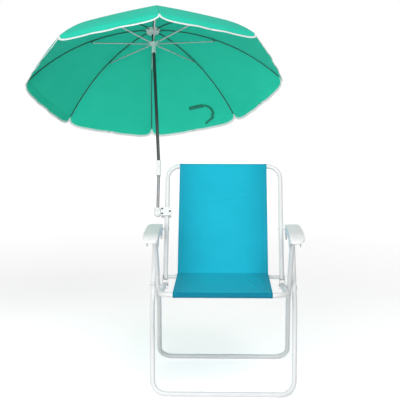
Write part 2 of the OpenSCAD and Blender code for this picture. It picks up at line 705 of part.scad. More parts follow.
front_leg_frame();
rear_leg_frame();
seat_frame();
backrest_frame();
sling_seat();
sling_back();
armrest_left();
armrest_right();
main_bolts();
main_nuts();
pivot_washers();
arm_rivets();
back_studs();
hinge_brackets();
hinge_crossbar();
hinge_rivets();
front_leg_plugs();
rear_leg_plugs();
clamp_body();
clamp_jaw();
clamp_screws();
pole_screw();
lower_pole();
tilt_base();
tilt_pin();
tilt_head();
upper_pole();
crown();
crown_cap();
crown_wire();
runner();
runner_catch();
rib(1);  // rib_1
rib(2);  // rib_2
rib(3);  // rib_3
rib(4);  // rib_4
rib(5);  // rib_5
rib(6);  // rib_6
rib(7);  // rib_7
rib(8);  // rib_8
stretcher(1);  // stretcher_1
stretcher(2);  // stretcher_2
stretcher(3);  // stretcher_3
stretcher(4);  // stretcher_4
stretcher(5);  // stretcher_5
stretcher(6);  // stretcher_6
stretcher(7);  // stretcher_7
stretcher(8);  // stretcher_8
canopy();
tie_strap();
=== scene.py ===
import json

import bmesh
import bpy
import numpy as np
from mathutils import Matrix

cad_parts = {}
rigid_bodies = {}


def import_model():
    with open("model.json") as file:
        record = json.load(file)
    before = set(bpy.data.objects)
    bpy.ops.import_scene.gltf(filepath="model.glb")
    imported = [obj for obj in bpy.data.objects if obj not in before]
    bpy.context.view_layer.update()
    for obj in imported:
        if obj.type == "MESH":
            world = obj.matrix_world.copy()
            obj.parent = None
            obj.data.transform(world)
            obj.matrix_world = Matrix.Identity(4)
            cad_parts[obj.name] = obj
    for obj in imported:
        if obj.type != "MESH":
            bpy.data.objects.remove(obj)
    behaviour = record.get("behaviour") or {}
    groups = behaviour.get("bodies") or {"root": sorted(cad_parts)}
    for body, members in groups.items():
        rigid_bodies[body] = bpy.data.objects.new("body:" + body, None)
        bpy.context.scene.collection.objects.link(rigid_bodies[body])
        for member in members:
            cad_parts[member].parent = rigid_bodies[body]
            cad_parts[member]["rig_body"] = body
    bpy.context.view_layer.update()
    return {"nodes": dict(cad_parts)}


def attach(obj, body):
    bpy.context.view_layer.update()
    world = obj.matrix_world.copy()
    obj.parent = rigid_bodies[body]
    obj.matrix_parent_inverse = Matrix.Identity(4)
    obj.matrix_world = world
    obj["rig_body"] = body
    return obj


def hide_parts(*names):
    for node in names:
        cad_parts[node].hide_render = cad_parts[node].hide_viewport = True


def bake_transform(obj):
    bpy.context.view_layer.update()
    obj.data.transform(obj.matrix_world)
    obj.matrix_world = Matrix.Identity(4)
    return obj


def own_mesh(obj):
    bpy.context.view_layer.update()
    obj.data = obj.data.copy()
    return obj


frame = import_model()
nodes = frame["nodes"]
print("frame loaded:", len(nodes), "nodes")

# the part's origin as the chair's frame has it, and how the back and the parasol lean (metres, degrees)
place = {
    "origin": (-0.256669, 0.339335, 0.0),
    "hinge": (0.100, 0.360), "recline": 26.0,
    "tilt": (-0.257, 0.445), "sideLean": 3.8,
}


def turned(points, degrees, a, b):
    # coordinates a and b turn in their plane: a cos - b sin and a sin + b cos
    points = np.array(points, float)
    c, s = np.cos(np.radians(degrees)), np.sin(np.radians(degrees))
    first, second = points[..., a] * c - points[..., b] * s, points[..., a] * s + points[..., b] * c
    points[..., a], points[..., b] = first, second
    return points


def fromChair(points):
    # chair frame: x to the side, y to the rear, z up
    return np.asarray(points, float) - np.array(place["origin"])


def fromBack(points):
    # back frame: x to the side, y behind the tubes, z up along the back from its hinge
    y, z = place["hinge"]
    return fromChair(turned(points, -place["recline"], 1, 2) + np.array([0, y, z]))


def fromMast(points):
    # mast frame: z along the pole from its tilt joint
    x, z = place["tilt"]
    return fromBack(turned(points, place["sideLean"], 0, 2) + np.array([x, 0, z]))


def unit(vectors):
    # each vector over its own length
    return vectors / np.maximum(np.linalg.norm(vectors, axis=-1, keepdims=True), 1e-12)


def runsOf(line):
    # the way along the line to each of its points
    return np.concatenate([[0], np.cumsum(np.linalg.norm(np.diff(line, axis=0), axis=1))])


def addObject(name, data):
    # a new object in the scene, at the origin
    made = bpy.data.objects.new(name, data)
    bpy.context.scene.collection.objects.link(made)
    return made


def gridFaces(rows, columns, closed=False):
    # quads between neighbouring rows and columns, all at once
    i, j = np.meshgrid(np.arange(rows - 1), np.arange(columns if closed else columns - 1), indexing="ij")
    right = (j + 1) % columns
    here, above = i * columns, (i + 1) * columns
    return np.stack([here + j, here + right, above + right, above + j], -1).reshape(-1, 4)


def newMesh(name, points, faces, material, uv=None, cornerNormals=None):
    # points and faces go in as whole arrays, with a UV place for each point and a normal for each corner
    mesh = bpy.data.meshes.new(name)
    mesh.from_pydata(np.asarray(points).reshape(-1, 3).tolist(), [], [list(f) for f in faces])
    corners = np.zeros(len(mesh.loops), np.int32)
    mesh.loops.foreach_get("vertex_index", corners)
    if uv is not None:
        layer = mesh.uv_layers.new(name="cloth")
        layer.uv.foreach_set("vector", np.asarray(uv, np.float32).reshape(-1, 2)[corners].ravel())
    mesh.polygons.foreach_set("use_smooth", np.full(len(mesh.polygons), True))
    if cornerNormals is not None:
        mesh.normals_split_custom_set(np.asarray(cornerNormals).tolist())
    mesh.materials.append(material)
    return addObject(name, mesh)


def gridNormals(points):
    # the cross product of the steps along the columns and along the rows
    return unit(np.cross(np.gradient(points, axis=1), np.gradient(points, axis=0)))


def clothShell(name, outer, normals, thickness, material, uv, rightNormals=None):
    # the outer face, an inner face set in along the normals by the thickness, and a strip round the border;
    # with rightNormals the right half of the columns is shaded by those, so that a ridge stays sharp
    rows, columns = outer.shape[:2]
    middle, count = (columns - 1) // 2, rows * columns
    top = gridFaces(rows, columns)
    topNormals = normals.reshape(-1, 3)[top]
    inwards = normals
    if rightNormals is not None:
        onRight = np.arange(len(top)) % (columns - 1) >= middle
        topNormals = np.where(onRight[:, None, None], rightNormals.reshape(-1, 3)[top], topNormals)
        inwards = np.where((np.arange(columns) > middle)[None, :, None], rightNormals, normals)
        inwards[:, middle] = unit(normals[:, middle] + rightNormals[:, middle])
    inner = outer - inwards * np.asarray(thickness)[..., None]
    ring = np.concatenate([
        np.arange(columns),
        np.arange(1, rows) * columns + columns - 1,
        (rows - 1) * columns + np.arange(columns - 2, -1, -1),
        np.arange(rows - 2, 0, -1) * columns,
    ])
    after = np.roll(ring, -1)
    rim = np.stack([ring, ring + count, after + count, after], -1)
    flat = outer.reshape(-1, 3)
    rimNormals = unit(np.cross(flat[after] - flat[ring], inwards.reshape(-1, 3)[ring]))
    faces = np.concatenate([top, top[:, ::-1] + count, rim])
    cornerNormals = np.concatenate([
        topNormals.reshape(-1, 3),
        -topNormals[:, ::-1].reshape(-1, 3),
        np.repeat(rimNormals, 4, axis=0),
    ])
    area = np.cross(flat[top[:, 2]] - flat[top[:, 0]], flat[top[:, 3]] - flat[top[:, 1]])
    if (area * normals.reshape(-1, 3)[top[:, 0]]).sum() < 0:  # the grid winds the other way round
        faces = faces[:, ::-1]
        cornerNormals = cornerNormals.reshape(-1, 4, 3)[:, ::-1].reshape(-1, 3)
    points = np.concatenate([flat, inner.reshape(-1, 3)])
    return newMesh(name, points, faces, material, np.tile(uv.reshape(-1, 2), (2, 1)), cornerNormals)


def bandAlong(name, path, side, up, halfWide, halfThick, material):
    # a flat rounded profile carried along the path: path + side a cos v + up b sin v, with a cap at each end
    rows, steps = len(path), 10
    v = np.linspace(0, 2 * np.pi, steps, endpoint=False)
    cosV, sinV = np.cos(v)[None, :, None], np.sin(v)[None, :, None]
    points = path[:, None] + side[:, None] * halfWide * cosV + up[:, None] * halfThick * sinV
    faces = gridFaces(rows, steps, closed=True).tolist()
    faces.append(list(range(steps))[::-1])
    faces.append([(rows - 1) * steps + i for i in range(steps)])
    uv = np.stack(np.broadcast_arrays(v[None, :] * halfWide, runsOf(path)[:, None]), -1)
    piece = newMesh(name, points, faces, material, uv)
    pointOut(piece)
    return piece


def pointOut(piece):
    # all faces of a closed piece point outwards
    bm = bmesh.new()
    bm.from_mesh(piece.data)
    bmesh.ops.recalc_face_normals(bm, faces=bm.faces)
    bm.to_mesh(piece.data)
    bm.free()


def newMaterial(name, colour, roughness, metallic=0.0):
    # a plain surface, the base of every finish and cloth
    material = bpy.data.materials.new(name)
    material.use_nodes = True
    setShader(material, Base_Color=(*colour, 1), Roughness=roughness, Metallic=metallic)
    return material


def setShader(material, **inputs):
    # the surface's own sockets, set or linked by name
    for name, value in inputs.items():
        setInput(material, material.node_tree.nodes["Principled BSDF"], name, value)


def setInput(material, made, name, value):
    # i0, i1 and so on stand for an input's number, and _ for a space in its name
    numbered = name[0] == "i" and name[1:].isdigit()
    socket = made.inputs[int(name[1:]) if numbered else name.replace("_", " ")]
    if isinstance(value, bpy.types.NodeSocket):
        material.node_tree.links.new(value, socket)
    else:
        socket.default_value = value


def node(material, kind, **inputs):
    # a new node with its inputs set or linked by name
    made = material.node_tree.nodes.new(kind)
    for name, value in inputs.items():
        setInput(material, made, name, value)
    return made


def maths(material, operation, a, b=0.0):
    # a and b joined by the operation; b is left out where it takes one value
    made = node(material, "ShaderNodeMath", i0=a, i1=b)
    made.operation = operation
    return made.outputs[0]


def mixColour(material, share, a, b):
    # from colour a at share 0 to colour b at share 1
    made = node(material, "ShaderNodeMix")
    made.data_type = "RGBA"
    for name, value in {"i0": share, "i6": a, "i7": b}.items():
        setInput(material, made, name, (*value, 1) if isinstance(value, tuple) else value)
    return made.outputs[2]


def noise(material, coordinates, scale, detail, roughness=0.5):
    # soft random values from 0 to 1, with scale patches to a metre
    inputs = {"Vector": coordinates, "Scale": scale, "Detail": detail, "Roughness": roughness}
    return node(material, "ShaderNodeTexNoise", **inputs).outputs[0]


def objectPlace(material):
    # where a point is in the piece's own frame
    return node(material, "ShaderNodeTexCoord").outputs["Object"]


def bumped(material, height, distance):
    # relief as deep as the distance where the height is 1
    made = node(material, "ShaderNodeBump", Height=height, Distance=distance, Strength=1.0)
    setShader(material, Normal=made.outputs[0])


def paint(name, look):
    # painted, plated or moulded surface: the colour drifts a little, with fine grain in roughness and height
    material = newMaterial(name, look["colour"], look["roughness"], look.get("metallic", 0.0))
    at = objectPlace(material)
    share = maths(material, "MULTIPLY", noise(material, at, look["driftScale"], 3.0), look["driftShare"])
    dark = tuple(c * look["shade"] for c in look["colour"])
    grain = noise(material, at, look["grainScale"], 2.0)
    rough = maths(material, "MULTIPLY", grain, look["roughDrift"])
    rough = maths(material, "ADD", rough, look["roughness"] - look["roughDrift"] / 2)
    setShader(material, Base_Color=mixColour(material, share, look["colour"], dark), Roughness=rough)
    bumped(material, grain, look["grainHeight"])
    return material


# the finishes of the frame, its fittings and the parasol's metal, by the names that the nodes' slots have.
# shade is the darker tone that the colour drifts to and driftShare how far it goes; scales are patches to a
# metre, and the grain moves the roughness by roughDrift and stands up by grainHeight metres
finishes = {
    "white_tube": {
        "colour": (0.84, 0.845, 0.85), "roughness": 0.33,
        "shade": 0.90, "driftScale": 9.0, "driftShare": 0.5,
        "grainScale": 900.0, "roughDrift": 0.10, "grainHeight": 0.00012,
    },
    "white_plastic": {
        "colour": (0.90, 0.905, 0.905), "roughness": 0.46,
        "shade": 0.93, "driftScale": 14.0, "driftShare": 0.5,
        "grainScale": 1500.0, "roughDrift": 0.12, "grainHeight": 0.00010,
    },
    "plated_steel": {
        "colour": (0.62, 0.63, 0.65), "roughness": 0.28, "metallic": 1.0,
        "shade": 0.75, "driftScale": 120.0, "driftShare": 0.6,
        "grainScale": 2400.0, "roughDrift": 0.14, "grainHeight": 0.00004,
    },
    "dark_plastic": {
        "colour": (0.020, 0.021, 0.023), "roughness": 0.52,
        "shade": 0.6, "driftScale": 30.0, "driftShare": 0.5,
        "grainScale": 1400.0, "roughDrift": 0.14, "grainHeight": 0.00010,
    },
    "grey_pole": {
        "colour": (0.27, 0.275, 0.285), "roughness": 0.42, "metallic": 0.6,
        "shade": 0.82, "driftScale": 40.0, "driftShare": 0.5,
        "grainScale": 1800.0, "roughDrift": 0.12, "grainHeight": 0.00004,
    },
    "dark_pole": {
        "colour": (0.070, 0.074, 0.078), "roughness": 0.30, "metallic": 0.5,
        "shade": 0.7, "driftScale": 25.0, "driftShare": 0.5,
        "grainScale": 1200.0, "roughDrift": 0.12, "grainHeight": 0.00008,
    },
    "rib_wire": {
        "colour": (0.022, 0.023, 0.026), "roughness": 0.36, "metallic": 0.1,
        "shade": 0.6, "driftScale": 40.0, "driftShare": 0.5,
        "grainScale": 1200.0, "roughDrift": 0.12, "grainHeight": 0.00006,
    },
    "stretcher_steel": {
        "colour": (0.76, 0.77, 0.78), "roughness": 0.26, "metallic": 0.9,
        "shade": 0.82, "driftScale": 60.0, "driftShare": 0.6,
        "grainScale": 1600.0, "roughDrift": 0.14, "grainHeight": 0.00005,
    },
}
painted = {name: paint(name, look) for name, look in finishes.items()}
for piece in nodes.values():
    for slot in piece.material_slots:
        finish = slot.material.name.split(".")[0] if slot.material else ""
        slot.material = painted.get(finish, slot.material)
nodes["pole_screw"].material_slots[0].material = painted["white_plastic"]
# the hinge rivets take the dark finish as painted shade, standing in for the shadowed gaps round the hinge
# brackets
for part in ("clamp_screws", "hinge_rivets"):
    nodes[part].material_slots[0].material = painted["dark_plastic"]
print("finishes on the frame:", len(painted))


def hexColour(text):
    # the written colour as the linear red, green and blue that a shader takes
    value = np.array([int(text[i:i + 2], 16) for i in (0, 2, 4)]) / 255
    linear = np.where(value <= 0.04045, value / 12.92, ((value + 0.055) / 1.055) ** 2.4)
    return tuple(float(c) for c in linear)


# stitches: half their width, the length of one, the sine above which it shows, the strength of its colour;
# seamDepth is how far a seam sinks against the threads, sideShadePower how late the painted side shade sets
# in
stitching = {
    "half": 0.0004, "length": 0.0034, "level": -0.4, "strength": 0.7, "seamDepth": 2.0, "sideShadePower": 2.6,
}


def woven(name, look):
    # cloth from its UV in metres: threads as ridges |sin(pi across / pitch)| times |sin(pi along / pitch)|,
    # colour drifting in soft patches, painted shade to the sides and where the cloth wraps round the bars,
    # with dark seams and stitches
    tone = {key: hexColour(look[key]) for key in ("colour", "drift", "gap", "thread")}
    material = newMaterial(name, tone["colour"], look["roughness"])

    def op(operation, a, b=0.0):
        return maths(material, operation, a, b)

    uv = node(material, "ShaderNodeUVMap")
    uv.uv_map = "cloth"
    across, along = node(material, "ShaderNodeSeparateXYZ", Vector=uv.outputs[0]).outputs[:2]
    warp = op("ABSOLUTE", op("SINE", op("MULTIPLY", across, np.pi / look["pitch"])))
    weft = op("ABSOLUTE", op("SINE", op("MULTIPLY", along, np.pi / look["pitch"])))
    height = op("MULTIPLY", warp, weft)
    patches = noise(material, uv.outputs[0], look["patchScale"], 3.0, 0.6)
    colour = mixColour(material, patches, tone["colour"], tone["drift"])
    gaps = op("MULTIPLY", op("SUBTRACT", 1.0, height), look["gapShare"])
    colour = mixColour(material, gaps, colour, tone["gap"])
    offMiddle = op("ABSOLUTE", across)
    # painted shade: the cloth darkens towards its two sides, where less light falls on it
    if "sideShadeAt" in look:
        side = op("POWER", op("DIVIDE", offMiddle, look["sideShadeAt"]), stitching["sideShadePower"])
        colour = mixColour(material, op("MULTIPLY", side, look["sideShadeShare"]), colour, tone["gap"])
    # painted shade: the cloth darkens in bands where it wraps round the seat's front bar and the back's top
    # bar
    for low, high, share in look.get("shadedBands", ()):
        inside = op("MULTIPLY", op("GREATER_THAN", along, low), op("LESS_THAN", along, high))
        colour = mixColour(material, op("MULTIPLY", inside, share), colour, tone["gap"])
    for at, half, share in look.get("seams", ()):
        off = op("ABSOLUTE", op("SUBTRACT", offMiddle, at))
        line = op("MULTIPLY", op("LESS_THAN", off, half), share)
        colour = mixColour(material, line, colour, tone["gap"])
        height = op("SUBTRACT", height, op("MULTIPLY", line, stitching["seamDepth"]))
    for at in look.get("stitches", ()):
        off = op("ABSOLUTE", op("SUBTRACT", offMiddle, at))
        turns = op("MULTIPLY", along, 2 * np.pi / stitching["length"])
        run = op("GREATER_THAN", op("SINE", turns), stitching["level"])
        dash = op("MULTIPLY", op("LESS_THAN", off, stitching["half"]), run)
        colour = mixColour(material, op("MULTIPLY", dash, stitching["strength"]), colour, tone["thread"])
        height = op("ADD", height, dash)
    setShader(material, Base_Color=colour, Sheen_Weight=look["sheen"], Sheen_Roughness=0.4)
    setShader(material, Specular_IOR_Level=look.get("specular", 0.5))
    bumped(material, height, look["depth"])
    return material


# shadedBands: painted shade where the cloth wraps round the bars: from and to along the cloth, how dark.
# seams: distance from the middle line, half width, how dark.
# stitches: distances of their rows from the middle line.
# sideShadeAt: where the painted side shade is darkest, by sideShadeShare
weaves = {
    "canopyCloth": {
        "colour": "38E6C7", "drift": "26D9B9", "gap": "0B9479", "thread": "8FE6D6", "roughness": 0.72,
        "specular": 0.15, "sheen": 0.03, "pitch": 0.0009, "depth": 0.00012, "patchScale": 7.0,
        "gapShare": 0.16, "seams": [(0.0, 0.0011, 0.75)], "stitches": [0.0045],
    },
    "slingCloth": {
        "colour": "20CDE8", "drift": "17BEDB", "gap": "067C98", "thread": "52CBE2", "roughness": 0.68,
        "specular": 0.15, "sheen": 0.02, "pitch": 0.0016, "depth": 0.00030, "patchScale": 9.0,
        # painted shade: the sling darkens towards its two sides
        "gapShare": 0.26, "sideShadeShare": 0.55, "sideShadeAt": 0.172, "stitches": [0.1600, 0.1625],
        # painted shade: darker bands on the wraps round the front bar and the top bar
        "shadedBands": [(0.0, 0.066, 0.92), (0.8545, 1.0, 0.35)],
    },
    "bindingTape": {
        "colour": "FBFCFC", "drift": "F4F6F5", "gap": "DDE2E0", "thread": "FFFFFF", "roughness": 0.7,
        "sheen": 0.1, "pitch": 0.0008, "depth": 0.00010, "patchScale": 20.0, "gapShare": 0.25,
    },
    "strapWebbing": {
        "colour": "1E977B", "drift": "18866C", "gap": "0F6350", "thread": "2F8A73", "roughness": 0.75,
        "sheen": 0.1, "pitch": 0.0012, "depth": 0.00022, "patchScale": 30.0, "gapShare": 0.4,
    },
}
cloths = {name: woven(name, look) for name, look in weaves.items()}
print("cloths:", len(cloths))

# the parasol's cloth: one panel for each rib, from its valley on one side to the next on the other.
# ribTurn: rib 1 off the chair's front in degrees. drawnIn: how far the cloth follows the chord between ribs.
# crowding: above 1 the columns stand closer at the rib. closedShare: a panel's width once it is shut
parasol = {
    "ribs": 8, "ribTurn": 5.6, "radius": 0.514, "edgeHeight": 0.391, "domeHeight": 0.225, "hole": 0.006,
    "drawnIn": 0.85, "valance": 0.042, "lobeLeast": 0.12, "lobePower": 8, "flare": 0.45, "drop": 0.9,
    "ripple": 0.0016, "waves": 6, "fineWaves": 10, "fineShare": 0.6, "finePhase": 1.0,
    "cloth": 0.0007, "domeRows": 40, "valanceRows": 10, "halfColumns": 20, "crowding": 1.6,
    "closedShare": 0.27, "panelFrom": 0.030,
    "bindingAt": 1.97, "bindingHalf": 0.0048, "bindingThick": 0.0015,
}
gore = 360 / parasol["ribs"]
ballRadius = (parasol["radius"] ** 2 + parasol["domeHeight"] ** 2) / (2 * parasol["domeHeight"])
ballHeight = parasol["edgeHeight"] + parasol["domeHeight"] - ballRadius
domeRun = parasol["radius"] - parasol["hole"]


def clothAt(angle, s):
    # s from 0 to 1 is the dome: a sphere, drawn in between the ribs as a chord is. s from 1 to 2 is the
    # valance, which hangs and flares, as deep as the lobe least + (1 - least) sqrt(1 - |2u - 1|^8), with
    # ripples of two cosines; u from 0 to 1 is the way from one rib to the next
    u = np.abs(angle) / gore
    chord = np.cos(np.radians(gore / 2)) / np.cos(np.radians((u - 0.5) * gore))
    r = parasol["hole"] + domeRun * np.minimum(s, 1)
    lobe = np.sqrt(np.maximum(1 - np.abs(2 * u - 1) ** parasol["lobePower"], 0))
    lobe = parasol["lobeLeast"] + (1 - parasol["lobeLeast"]) * lobe
    fall = parasol["valance"] * lobe * np.maximum(s - 1, 0)
    fine = parasol["fineShare"] * np.cos(np.pi * parasol["fineWaves"] * u + parasol["finePhase"])
    wave = np.cos(np.pi * parasol["waves"] * u) + fine
    ripple = parasol["ripple"] * np.maximum(s - 1, 0) * np.sin(np.pi * u) * wave
    out = r * (1 - parasol["drawnIn"] * (1 - chord)) + parasol["flare"] * fall + ripple
    z = ballHeight + np.sqrt(ballRadius ** 2 - r ** 2) - parasol["drop"] * fall
    a = np.radians(angle)
    return np.stack([out * np.cos(a), out * np.sin(a), z], -1)


def clothNormals(angle, s, side):
    # the cross product of small steps to both sides of a point, but never across the rib's ridge
    turnStep, runStep = 0.05, 0.01
    if side > 0:
        angle = np.maximum(angle, 0)
        low, high = np.maximum(angle - turnStep, 0), angle + turnStep
    else:
        angle = np.minimum(angle, 0)
        low, high = angle - turnStep, np.minimum(angle + turnStep, 0)
    across = clothAt(high, s) - clothAt(low, s)
    along = clothAt(angle, np.minimum(s + runStep, 2)) - clothAt(angle, np.maximum(s - runStep, 0))
    return unit(np.cross(along, across))


def onParasol(points, k):
    # from the frame of rib k, whose x axis lies below that rib
    return fromMast(turned(points, parasol["ribTurn"] - 90 - gore * (k - 1), 0, 1))


def wayOnParasol(ways, k):
    # a direction in the frame of rib k
    return onParasol(ways, k) - onParasol(np.zeros(3), k)


half = gore / 2 * np.linspace(0, 1, parasol["halfColumns"] + 1) ** parasol["crowding"]
columnAngles = np.concatenate([-half[:0:-1], half])
domeS = np.linspace((parasol["panelFrom"] - parasol["hole"]) / domeRun, 1, parasol["domeRows"])
rowS = np.concatenate([domeS, 1 + np.linspace(0, 1, parasol["valanceRows"] + 1)[1:]])
sGrid, angleGrid = np.meshgrid(rowS, columnAngles, indexing="ij")
panel = clothAt(angleGrid, sGrid)
leftNormals = clothNormals(angleGrid, sGrid, -1)
rightNormals = clothNormals(angleGrid, sGrid, 1)
runLength = runsOf(clothAt(0 * rowS, rowS))
panelUv = np.stack([panel[..., 1], np.broadcast_to(runLength[:, None], panel.shape[:2])], -1)
edgeS = np.full_like(columnAngles, parasol["bindingAt"])
edgeOut = np.where((columnAngles > 0)[:, None], clothNormals(columnAngles, edgeS, 1),
                   clothNormals(columnAngles, edgeS, -1))
edge = clothAt(columnAngles, edgeS)
edgeDown = unit(np.cross(edgeOut, np.gradient(edge, axis=0)))
edge = edge - edgeOut * parasol["cloth"] / 2
crownPin = np.array([0.0, 0.0, 0.6077])  # the height at which the ribs hinge in the crown
for k in range(1, parasol["ribs"] + 1):
    cloth = clothShell(f"canopy_panel_{k}", onParasol(panel, k), wayOnParasol(leftNormals, k),
                       parasol["cloth"], cloths["canopyCloth"], panelUv, wayOnParasol(rightNormals, k))
    binding = bandAlong(f"valance_binding_{k}", onParasol(edge, k), wayOnParasol(edgeDown, k),
                        wayOnParasol(edgeOut, k), parasol["bindingHalf"], parasol["bindingThick"],
                        cloths["bindingTape"])
    for piece in (cloth, binding):
        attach(piece, f"rib_{k}")
        tuple(wayOnParasol(np.array([0, 1.0, 0]), k))
        tuple(onParasol(crownPin, k))
        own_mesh(piece)
    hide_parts("canopy")

# the round patch in the middle, which stays on the crown while the panels close below it
patchShape = {"to": 0.034, "lift": 0.0009, "flatTo": 0.018, "rise": 0.005, "rows": 12, "turns": 96,
              "ridge": 50.0, "uvAside": 0.1}
patchTurn = np.linspace(0, 360, patchShape["turns"], endpoint=False)
patchAngle = (patchTurn + gore / 2) % gore - gore / 2
outerS = np.linspace(0, (patchShape["to"] - parasol["hole"]) / domeRun, patchShape["rows"])
patchS = np.concatenate([outerS, outerS[::-1]])
lifted = patchShape["lift"] * np.clip((patchS * domeRun - patchShape["flatTo"]) / patchShape["rise"], 0, 1)
lifted[patchShape["rows"]:] -= parasol["cloth"]
sGrid, angleGrid = np.meshgrid(patchS, patchAngle, indexing="ij")
patchPoints = turned(clothAt(angleGrid, sGrid), patchTurn - patchAngle, 0, 1)
patchPoints = patchPoints + lifted[:, None, None] * np.array([0, 0, 1])
patchFaces = gridFaces(len(patchS) + 1, len(patchTurn), closed=True) % (len(patchS) * len(patchTurn))
patchUv = patchPoints[..., 1::-1] + patchShape["uvAside"]  # aside, so that no seam crosses the patch
patch = newMesh("canopy_patch", onParasol(patchPoints, 1), patchFaces, cloths["canopyCloth"], patchUv)
pointOut(patch)
patch.data.set_sharp_from_angle(angle=np.radians(patchShape["ridge"]))
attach(patch, "mast")
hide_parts("canopy")
print("parasol cloth: panels, binding and patch, panel length", round(float(runLength[-1]), 4))

# the sling: one cloth from under the seat's front bar, over it, back to the fold, up and over the back's top
# bar. It leaves the bars at wrapTo degrees and after topTurn degrees, and its ends are sewn to it at seam.
# A crease runs from a place to a place: metres across, and metres from the front, the fold or the top
sling = {
    "barWide": 0.1718, "topWide": 0.1705, "foldWide": 0.1715, "aside": -0.003, "thickness": 0.0011,
    "seatBar": (-0.235, 0.365), "topBar": (0.0, 0.449), "radius": 0.01015, "wrapTo": -269.0,
    "topTurn": 248.0, "seam": 0.034, "seamOff": 0.0072, "tangentOff": 0.007,
    "fold": (0.0935, 0.3762), "foldRadius": 0.004,
    "flatFrom": 0.060, "seatSag": 0.0045, "backSag": 0.0040,
    "hem": 0.014, "hemThick": 0.0007, "hemStep": 0.0006,
    "rows": 300, "columns": 110, "crowding": 0.85, "arcPoints": 40, "cornerPoints": 10,
    "creases": [
        {"from": (0.060, "fold", -0.030), "to": (0.135, "front", 0.040), "wide": 0.006, "high": 0.0050},
        {"from": (0.095, "fold", -0.040), "to": (0.160, "fold", -0.170), "wide": 0.005, "high": 0.0044},
        {"from": (0.085, "fold", -0.050), "to": (0.150, "front", 0.080), "wide": 0.009, "high": -0.0040},
        {"from": (-0.150, "top", -0.155), "to": (0.150, "top", -0.150), "wide": 0.005, "high": 0.0024},
        {"from": (-0.155, "top", -0.190), "to": (-0.085, "top", -0.235), "wide": 0.012, "high": -0.0026},
        {"from": (-0.160, "fold", 0.050), "to": (-0.060, "fold", 0.090), "wide": 0.010, "high": 0.0020},
        {"from": (0.165, "top", -0.010), "to": (0.060, "top", -0.060), "wide": 0.008, "high": 0.0009},
        {"from": (-0.165, "top", -0.010), "to": (-0.070, "top", -0.055), "wide": 0.008, "high": 0.0009},
    ],
}


def arcOf(centre, radius, fromDegrees, toDegrees, count):
    # points on a circle, angle measured from +y towards +z
    a = np.radians(np.linspace(fromDegrees, toDegrees, count))
    return np.stack([centre[0] + radius * np.cos(a), centre[1] + radius * np.sin(a)], -1)


def roundedCorner(before, corner, after, radius, count):
    # the corner's quadratic curve, from radius before it to radius after it
    before, corner, after = map(np.asarray, (before, corner, after))
    a = corner + unit(before - corner) * radius
    b = corner + unit(after - corner) * radius
    t = np.linspace(0, 1, count)[:, None]
    return a * (1 - t) ** 2 + corner * 2 * t * (1 - t) + b * t ** 2


def slingPath():
    # side view in the chair's frame: seam, round the seat's bar, seat, fold, back, round the top bar, seam
    def backPoint(y, z):
        return turned([y, z], -place["recline"], 0, 1) + place["hinge"]

    front, top = np.array(sling["seatBar"]), backPoint(*sling["topBar"])
    reach = np.degrees(np.arccos(sling["radius"] / np.hypot(sling["seam"], sling["tangentOff"])))
    start = np.degrees(np.arctan2(sling["tangentOff"], sling["seam"])) - reach
    topStart = 180 - place["recline"]
    wrap = arcOf(front, sling["radius"], start, sling["wrapTo"], sling["arcPoints"])
    overTop = arcOf(top, sling["radius"], topStart, topStart - sling["topTurn"], sling["arcPoints"])
    fold = roundedCorner(wrap[-1], sling["fold"], overTop[0], sling["foldRadius"], sling["cornerPoints"])
    under = front + np.array([sling["seam"], sling["seamOff"]])
    behind = backPoint(-sling["seamOff"], sling["topBar"][1] - sling["seam"])
    return np.concatenate([under[None], wrap, fold, overTop, behind[None]])


def evenly(line, count):
    # the same line with points at even steps of its length
    length = runsOf(line)
    at = np.linspace(0, length[-1], count)
    return np.stack([np.interp(at, length, line[:, i]) for i in range(2)], -1), at


centreLine, runs = evenly(slingPath(), sling["rows"])
foldAt = runs[np.argmin(np.linalg.norm(centreLine - sling["fold"], axis=1))]
seatStart, backEnd = sling["flatFrom"], runs[-1] - sling["flatFrom"]
u = np.linspace(-1, 1, sling["columns"])
r, across = np.meshgrid(runs, np.sign(u) * np.abs(u) ** sling["crowding"], indexing="ij")
onSeat = np.clip((r - seatStart) / (foldAt - seatStart), 0, 1)
onBack = np.clip((r - foldAt) / (backEnd - foldAt), 0, 1)
towardsFold = np.clip(np.where(r < foldAt, onSeat, (backEnd - r) / (backEnd - foldAt)), 0, 1)
atBars = np.where(r < foldAt, sling["barWide"], sling["topWide"])
halfWide = atBars + (sling["foldWide"] - atBars) * towardsFold
way = unit(np.gradient(centreLine, axis=0))
upward = np.stack([-way[:, 1], way[:, 0]], -1)
sag = sling["seatSag"] * np.sin(np.pi * onSeat) + sling["backSag"] * np.sin(np.pi * onBack)
sag = sag * (1 - across ** 2)


def creaseOf(crease):
    # a soft ridge: high exp(-(distance / wide)^2) sin(pi t), where t runs from 0 to 1 along the crease
    marks = {"front": seatStart, "fold": foldAt, "top": backEnd}
    (x0, mark0, off0), (x1, mark1, off1) = crease["from"], crease["to"]
    r0, r1 = marks[mark0] + off0, marks[mark1] + off1
    length = np.hypot(x1 - x0, r1 - r0)
    dx, dr = (x1 - x0) / length, (r1 - r0) / length
    along = (across * halfWide - x0) * dx + (r - r0) * dr
    off = (r - r0) * dx - (across * halfWide - x0) * dr
    t = np.clip(along / length, 0, 1)
    return crease["high"] * np.exp(-(off / crease["wide"]) ** 2) * np.sin(np.pi * t)


